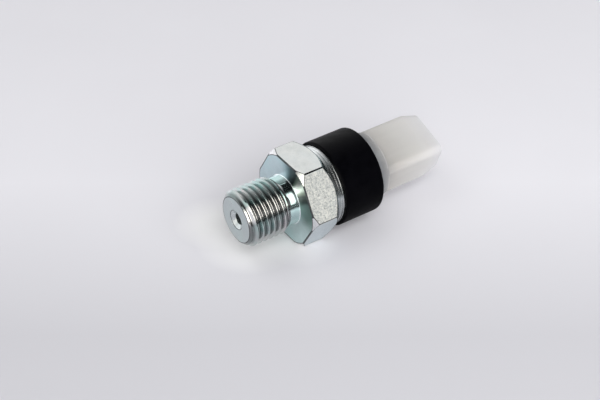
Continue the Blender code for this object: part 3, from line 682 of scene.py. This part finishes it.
def finish_thread(look):
    """The thread: rosy patches in its film, painted shade in its roots and a painted highlight along its
    near side.
    """
    patches = look.span(look.noise(260, 2, 0.5), 0.55, 0.7, 0.0, 0.6)
    colour = look.mix(patches, look.colour, (0.66, 0.55, 0.59))
    # Painted shade: the thread's roots turn dark
    colour = look.mix(look.span(look.radius(), 0.0061, 0.0066, 0.75, 0.0), colour, (0.12, 0.14, 0.14))
    # Painted highlight: a pale band along the thread's near side
    off_highlight = look.math("ABSOLUTE", look.math("SUBTRACT", look.turned(), THREAD_HIGHLIGHT))
    look.paint(look.mix(look.span(off_highlight, 0.030, 0.055, 0.9, 0.0), colour, (1.0, 1.0, 0.98)))


def finish_face(look):
    """The seat face: turned rings, and painted highlights and reflections in sectors for the camera; other
    metal sees one colour.
    """
    look.rings(0.0002, 0.04, 0.00001)
    camera = look.add("ShaderNodeLightPath").outputs["Is Camera Ray"]
    painted_sectors = look.ramp(look.turned(), *[(0.5 + angle / 360, colour) for angle, colour in FACE_PAINTED_SECTORS])
    tint = look.mix(camera, FACE_SEEN_BY_METAL, painted_sectors)
    look.paint(look.mix(1.0, look.colour, tint, "MULTIPLY"), look.span(camera, 0.0, 1.0, 0.08, 0.36))


def steel_looks():
    """The zinc-plated steel by zone: each face has the marks of how it was made, and some faces have
    painted highlights, reflections and shade.
    """
    looks = {zone: zinc("zinc_" + zone, *values) for zone, values in ZINC.items()}
    looks["tip"].rings(0.00016, 0.10, 0.000012)
    finish_thread(looks["thread"])
    finish_face(looks["face"])
    finish_flat(looks["flat"])
    for zone, (scale, detail, rough, strength, depth) in TURNED_LINES.items():
        look = looks[zone]
        look.bump(look.noise(1.0, detail, rough, place=look.scaled(scale)), strength, depth)
    return {zone: look.material for zone, look in looks.items()}


def black_look():
    """Black moulded plastic: near black, satin, with a fine moulded grain and a few paler scuffs."""
    look = Look("black_plastic", (0.001, 0.001, 0.002), 0.45, Specular_IOR_Level=0.036)
    scuff = look.noise(260, 4, 0.6)
    colour = look.ramp(scuff, (0.35, (0.0008, 0.0008, 0.0014)), (0.72, (0.002, 0.002, 0.003)))
    look.paint(colour, look.span(look.noise(700, 3, 0.6), 0.3, 0.7, 0.38, 0.50))
    look.bump(look.noise(6500, 3, 0.6), 0.18, 0.00003)
    return look.material


def plug_look():
    """Milky moulded plastic that light gets into, with faint flow lines and a painted shade towards the
    collar.
    """
    look = Look("translucent_plastic", (0.66, 0.655, 0.64), 0.5, IOR=1.45, Specular_IOR_Level=0.17,
                Subsurface_Weight=1.0, Subsurface_Radius=(1.0, 0.97, 0.94), Subsurface_Scale=0.005)
    low, high = PLUG_RANGE
    depth = look.span(look.parts()[0], (low + SEAT_X) / 1000, (high + SEAT_X) / 1000, 0.0, 1.0)
    # Painted shade: darker towards the collar
    colour = look.ramp(depth, *[((h - low) / (high - low), level) for h, level in PLUG_COLOURS_AND_SHADE])
    flow = look.noise(1.0, 3, 0.5, place=look.scaled((60, 260, 260)), distortion=0.4)
    colour = look.mix(look.span(flow, 0.3, 0.7, 0.0, 0.08), colour, (0.9, 0.9, 0.88))
    look.paint(colour, look.span(look.noise(900, 3, 0.6), 0.3, 0.7, 0.46, 0.56))
    look.bump(look.noise(4200, 3, 0.6), 0.10, 0.00004)
    look.bump(flow, 0.2, 0.00008)
    return look.material


def metal_look(name, light, dark, rough):
    """Rolled or drawn metal: fine lines one way, soft stains and small changes of gloss."""
    look = Look(name, light, rough, 1.0)
    lines = look.noise(1.0, 4, 0.65, place=look.scaled((300, 9000, 9000)))
    stained = look.ramp(look.noise(700, 4, 0.6), (0.3, dark), (0.65, light))
    colour = look.mix(look.span(lines, 0.3, 0.7, 0.0, 0.35), stained, dark)
    look.paint(colour, look.span(lines, 0.3, 0.7, rough - 0.06, rough + 0.08))
    look.bump(lines, 0.15, 0.00002)
    return look.material


def plain_look(name, light, dark, rough, grain):
    """Moulded rubber, resin or film: soft patches, a fine grain and small changes of gloss."""
    look = Look(name, light, rough)
    patch = look.noise(600, 4, 0.6)
    colour = look.ramp(patch, (0.3, dark), (0.7, light))
    look.paint(colour, look.span(patch, 0.3, 0.7, rough + 0.06, rough - 0.06))
    look.bump(look.noise(grain, 3, 0.6), 0.2, 0.00004)
    return look.material


# Outside pieces

steel = make_steel(steel_looks())
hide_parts("steel_body")
collar = make_collar(black_look())
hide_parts("black_collar")
milky = plug_look()
housing = make_housing(milky)
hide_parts("connector_housing")
latch = make_latch(milky)
for piece in (steel, collar, housing, latch):
    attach(piece, "sender")

# Inner pieces and blades keep their solids, apart from the spring

tinned = metal_look("tinned_brass", (0.78, 0.77, 0.74), (0.66, 0.65, 0.62), 0.26)
yellow = metal_look("yellow_brass", (0.78, 0.60, 0.30), (0.62, 0.45, 0.20), 0.28)
spring = metal_look("spring_steel", (0.52, 0.52, 0.53), (0.38, 0.38, 0.39), 0.30)
plated = zinc("zinc_washer", (0.64, 0.67, 0.68), (0.52, 0.56, 0.58), (0.58, 0.66, 0.66), 0.28, 0.06)
rubber = plain_look("black_rubber", (0.030, 0.030, 0.030), (0.016, 0.016, 0.016), 0.62, 4000)
resin = plain_look("brown_resin", (0.150, 0.062, 0.028), (0.085, 0.034, 0.015), 0.48, 3000)
film = plain_look("amber_film", (0.62, 0.32, 0.08), (0.50, 0.24, 0.05), 0.28, 1200)
dressed = {
    tinned: ("terminal_blade_a", "terminal_blade_b"),
    yellow: ("fixed_contact", "moving_contact", "spring_cup", "adjusting_screw", "screw_bush",
             "terminal_rivet_a", "terminal_rivet_b"),
    plated.material: ("clamp_washer",),
    rubber: ("diaphragm_seal", "base_seal"),
    resin: ("contact_carrier", "plunger", "terminal_base"),
    film: ("diaphragm",)}
for material, names in dressed.items():
    for name in names:
        nodes[name].data.materials.clear()
        nodes[name].data.materials.append(material)
for name in dressed[tinned]:
    add_bevel(nodes[name], 0.00008, 2)

# The contact spring as a finer coil in its solid's place; in the sender it shortens when the moving contact
# slides towards it

coil = make_spring(spring)
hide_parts("contact_spring")
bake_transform(coil)

# How much darker and brighter metal sees the floor, by its distance in front (-) of or behind the sender: a
# painted shade and a painted glow
GLOSSY_REACH = 0.10
GLOSSY_SHADE = [(-0.090, 1.0), (-0.055, 0.0)]
GLOSSY_GLOW = [(-0.060, 0.0), (-0.038, 0.5), (-0.016, 0.0), (0.020, 0.0), (0.055, 0.6)]

# The camera's way over the floor, and how far along it the paper turns darker towards the camera, as a
# painted shade
AWAY = (0.564, 0.826)
PAINTED_SHADE_NEARER = (0.012, -0.042)

# Painted light on the floor where the plate throws light back onto it: centre, two reaches in millimetres
# and strength
PAINTED_LIGHT_POOLS = [
    ((-21.5, 3.5, 0.0), (4, 13), 0.95), ((-12.0, -4.0, 0.0), (2, 9.5), 0.62),
    ((-25.0, 13.0, 0.0), (3, 10), 0.95)]

# The studio that metal sees, round the sender's axis: 0 is behind it, 90 above and 180 on the near side
REAR_SIDE = [
    (0, 1.50), (36, 1.45), (50, 1.0), (66, 0.70), (80, 0.42), (96, 0.14), (110, 0.05), (134, 0.04),
    (148, 0.10), (162, 0.16), (172, 0.06), (180, 0.06)]
TIP_SIDE = [
    (0, 1.20), (28, 1.20), (44, 0.56), (58, 0.36), (64, 0.02), (106, 0.015), (116, 0.10), (158, 0.40),
    (180, 0.12)]

# Light panels that metal sees: the way to each one, its inner and outer half angle, and its light
PANELS = [
    ((-0.72, -0.50, 0.42), 26, 29, (2.5, 2.4, 2.25)), ((-0.60, -0.74, 0.34), 14, 18, (2.5, 2.4, 2.25)),
    ((-0.98, 0.10, 0.12), 14, 20, (1.30, 1.26, 1.22)), ((-0.86, -0.02, 0.51), 6, 12, (1.5, 1.5, 1.45)),
    ((-0.44, 0.37, 0.82), 0.8, 2.2, (1.6, 1.6, 1.6))]
AMBIENT = (0.34, 0.34, 0.345)

# What the lamps look at, and the way to each one, its distance, size and power
LAMP_TARGET = (0, 0, 0.01)
LAMPS = {
    "key": ((-0.30, 0.35, 0.80), 0.6, 0.45, 0.65),
    "fill": ((-0.1, -0.78, 0.58), 0.6, 0.7, 4.1)}

# The camera's angles in degrees, its target, shift and distance in millimetres, and its lens
CAMERA_ANGLES = (-34.36, 38.35)
CAMERA_TARGET = (SEAT_X, 0, 10.53)
CAMERA_SHIFT = (3.32, -0.21)
CAMERA_DISTANCE = 345.12
CAMERA_LENS = 90
CAMERA_SENSOR = 36


def make_floor():
    """A large pale floor with a faint mottle, painted pools of light and a painted shade towards the
    camera; metal also sees on it a painted shade, darkest far off on the near side, and a painted glow.
    """
    shape = bmesh.new()
    bmesh.ops.create_grid(shape, x_segments=8, y_segments=8, size=1.5)
    mesh = bpy.data.meshes.new("floor")
    shape.to_mesh(mesh)
    shape.free()
    look = Look("floor_paper", (0.74, 0.735, 0.77), 0.8)
    paper = look.ramp(look.noise(30, 2, 0.5), (0.3, (0.872, 0.865, 0.905)), (0.7, (0.885, 0.878, 0.918)))
    along, across, _ = look.parts()
    depth = look.math("ADD", look.times(along, AWAY[0]), look.times(across, AWAY[1]))
    # Painted shade: the paper turns darker towards the camera
    paper = look.mix(look.span(depth, *PAINTED_SHADE_NEARER, 0.0, 1.0), paper, (0.66, 0.656, 0.69))
    # Painted pools of light on the paper
    for centre, reach, strength in PAINTED_LIGHT_POOLS:
        paper = look.painted_light_pool(paper, centre, reach, strength, (1.0, 0.995, 1.0))
    # What metal sees on the floor: a painted shade and a painted glow
    glossy = look.add("ShaderNodeLightPath").outputs["Is Glossy Ray"]
    share = look.span(across, -GLOSSY_REACH, GLOSSY_REACH, 0.0, 1.0)
    shade, glow = (
        look.ramp(share, *[((y + GLOSSY_REACH) / (2 * GLOSSY_REACH), level) for y, level in stops])
        for stops in (GLOSSY_SHADE, GLOSSY_GLOW))
    glow = look.times(glow, look.span(along, 0.002, 0.010, 1.0, 0.0))
    # Painted shade that metal sees on the floor beside the sender's near side
    front = look.span(across, -0.044, -0.034, 0.0, 0.5)
    back = look.span(across, -0.002, 0.004, 1.0, 0.0)
    painted_shade_beside = look.times(look.times(front, look.span(along, -0.008, -0.002, 0.0, 1.0)), back)
    dark = look.times(look.math("MAXIMUM", shade, painted_shade_beside), glossy)
    look.paint(look.mix(dark, paper, (0.05, 0.05, 0.05)))
    # For glossy rays the floor gives off a painted glow
    look.set(look.shader, {"Specular IOR Level": 0.2, "Emission Color": glow, "Emission Strength": glossy})
    mesh.materials.append(look.material)
    add_item("floor", mesh)


def make_world():
    """Even light for matt surfaces; glossy ones also see the studio's darker and brighter sides."""
    world = bpy.data.worlds.new("studio")
    scene.world = world
    world.use_nodes = True
    studio = Nodes(world.node_tree)
    place = studio.add("ShaderNodeTexCoord").outputs["Generated"]
    x, y, z = studio.add("ShaderNodeSeparateXYZ", {0: place}).outputs
    share = studio.math("DIVIDE", studio.math("ARCTAN2", z, y), pi)
    tip_side, rear_side = (
        studio.ramp(share, *[(angle / 180, level) for angle, level in stops])
        for stops in (TIP_SIDE, REAR_SIDE))
    seen = studio.mix(studio.span(x, -0.05, 0.30, 0.0, 1.0), tip_side, rear_side)
    for way, inner, outer, colour in PANELS:
        values = {0: place, 1: Vector(way).normalized()}
        dot = studio.add("ShaderNodeVectorMath", values, operation="DOT_PRODUCT").outputs["Value"]
        edges = (cos(radians(outer)), cos(radians(inner)))
        inside = studio.span(dot, *edges, 0.0, 1.0, interpolation_type="SMOOTHSTEP")
        seen = studio.mix(inside, seen, colour)
    glossy = studio.add("ShaderNodeLightPath").outputs["Is Glossy Ray"]
    background = studio.tree.nodes["Background"]
    studio.set(background, {"Color": studio.mix(glossy, AMBIENT, seen), "Strength": 1.0})


def add_light(name, target, way, distance, size, power):
    """Adds a soft square light that looks at a point."""
    data = bpy.data.lights.new(name, "AREA")
    data.size = size
    data.energy = power
    lamp = add_item(name, data)
    way = Vector(way).normalized()
    lamp.location = target + way * distance
    lamp.visible_glossy = False
    lamp.rotation_euler = (-way).to_track_quat("-Z", "Y").to_euler()


def add_camera():
    """The camera at the photo's angle and distance, fitted to the thread, hexagon, collar and plug."""
    azimuth, elevation = (radians(angle) for angle in CAMERA_ANGLES)
    back = Vector((sin(azimuth) * cos(elevation), -cos(azimuth) * cos(elevation), sin(elevation)))
    right = Vector((cos(azimuth), sin(azimuth), 0))
    up = back.cross(right)
    target = Vector(CAMERA_TARGET) + CAMERA_SHIFT[0] * right + CAMERA_SHIFT[1] * up
    data = bpy.data.cameras.new("camera")
    data.lens = CAMERA_LENS
    data.sensor_width = CAMERA_SENSOR
    data.clip_start = 0.01
    data.clip_end = 10
    camera = add_item("camera", data)
    camera.location = (target + CAMERA_DISTANCE * back) / 1000
    camera.rotation_euler = (-back).to_track_quat("-Z", "Y").to_euler()
    scene.camera = camera


make_floor()
make_world()
for name, values in LAMPS.items():
    add_light(name, Vector(LAMP_TARGET), *values)
add_camera()
